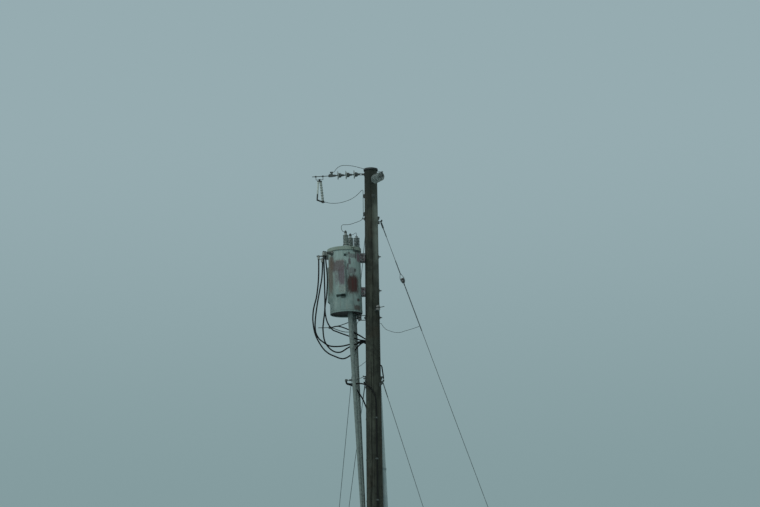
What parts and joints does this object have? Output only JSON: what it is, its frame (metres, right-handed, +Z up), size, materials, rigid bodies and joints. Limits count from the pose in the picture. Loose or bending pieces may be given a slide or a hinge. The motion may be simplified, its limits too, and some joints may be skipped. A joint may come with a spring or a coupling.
{
  "type": "pole mounted transformer",
  "caption": "Wood utility pole with a tank transformer hung on one side, dead-ended line insulators, a fused cutout, secondary leads, riser and guys.",
  "frame": {"origin": "centre of the pole where it meets the ground", "axes": "+Z up the pole, +X to the right of the picture, away from the transformer, +Y away from the camera"},
  "size_m": [4.6766, 4.0846, 10.4342],
  "materials": {
    "pole_wood": "weathered, drying checks, dark",
    "cap_plastic": "weathered matt",
    "galvanised": "weathered zinc with rust",
    "grey_porcelain": "glazed, dusty",
    "dark_porcelain": "glazed, dusty",
    "line_aluminium": "weathered",
    "cutout_metal": "dull dark metal",
    "fuse_fibre": "chalky fibre tube",
    "tank_paint": "chalky grey-green enamel with rust stains",
    "band_paint": "dull enamel",
    "cable_black": "weathered black jacket",
    "cable_grey": "grey jacket",
    "riser_plastic": "faded grey"
  },
  "bodies": {
    "pole_assembly": {"pole": "pole_wood", "pole_cap": "cap_plastic", "through_bolts": "galvanised", "line_eyes": "galvanised", "left_string_sheds": "grey_porcelain", "left_string_fittings": "galvanised", "right_string_sheds": "grey_porcelain", "right_string_fittings": "galvanised", "left_strain_clamp": "galvanised", "right_strain_clamp": "galvanised", "line_stub": "line_aluminium", "stirrup": "galvanised", "cutout_insulator": "grey_porcelain", "cutout_fittings": "cutout_metal", "primary_jumper": "line_aluminium", "top_jumper": "line_aluminium", "arrester_jumper": "line_aluminium", "wire_brackets": "galvanised", "tank": "tank_paint", "tank_lid": "tank_paint", "lid_band": "band_paint", "cooling_pockets": "tank_paint", "lifting_lugs": "tank_paint", "tank_hangers": "tank_paint", "high_bushings": "dark_porcelain", "high_terminals": "galvanised", "arrester": "dark_porcelain", "arrester_fittings": "galvanised", "low_bushings": "dark_porcelain", "low_terminals": "galvanised", "lead_1": "cable_black", "lead_2": "cable_black", "lead_3": "cable_black", "lead_4": "cable_black", "lead_5": "cable_black", "lead_6": "cable_grey", "neutral_clevises": "galvanised", "neutral_spools": "grey_porcelain", "neutral_grips": "galvanised", "service_hook": "galvanised", "service_clamp": "galvanised", "service_tail_1": "cable_black", "service_tail_2": "cable_black", "service_risers": "cable_black", "riser_clips": "galvanised", "riser_pipe": "riser_plastic", "riser_brackets": "galvanised", "guy_hooks": "galvanised", "guy_strands": "galvanised", "guy_grips": "galvanised", "guy_insulators": "grey_porcelain", "anchor_rods": "galvanised", "bond_wire_right": "line_aluminium", "bond_wire_back": "line_aluminium"},
    "fuse_holder": {"fuse_tube": "fuse_fibre"}
  },
  "joints": [
    {"name": "fuse_tube_swing", "type": "hinge", "parent": "pole_assembly", "child": "fuse_holder", "pos_m": [-0.91971, -0.0918, 9.77987], "axis": [0.0993, -0.9951, 0], "range_deg": [0, 140]}
  ]
}
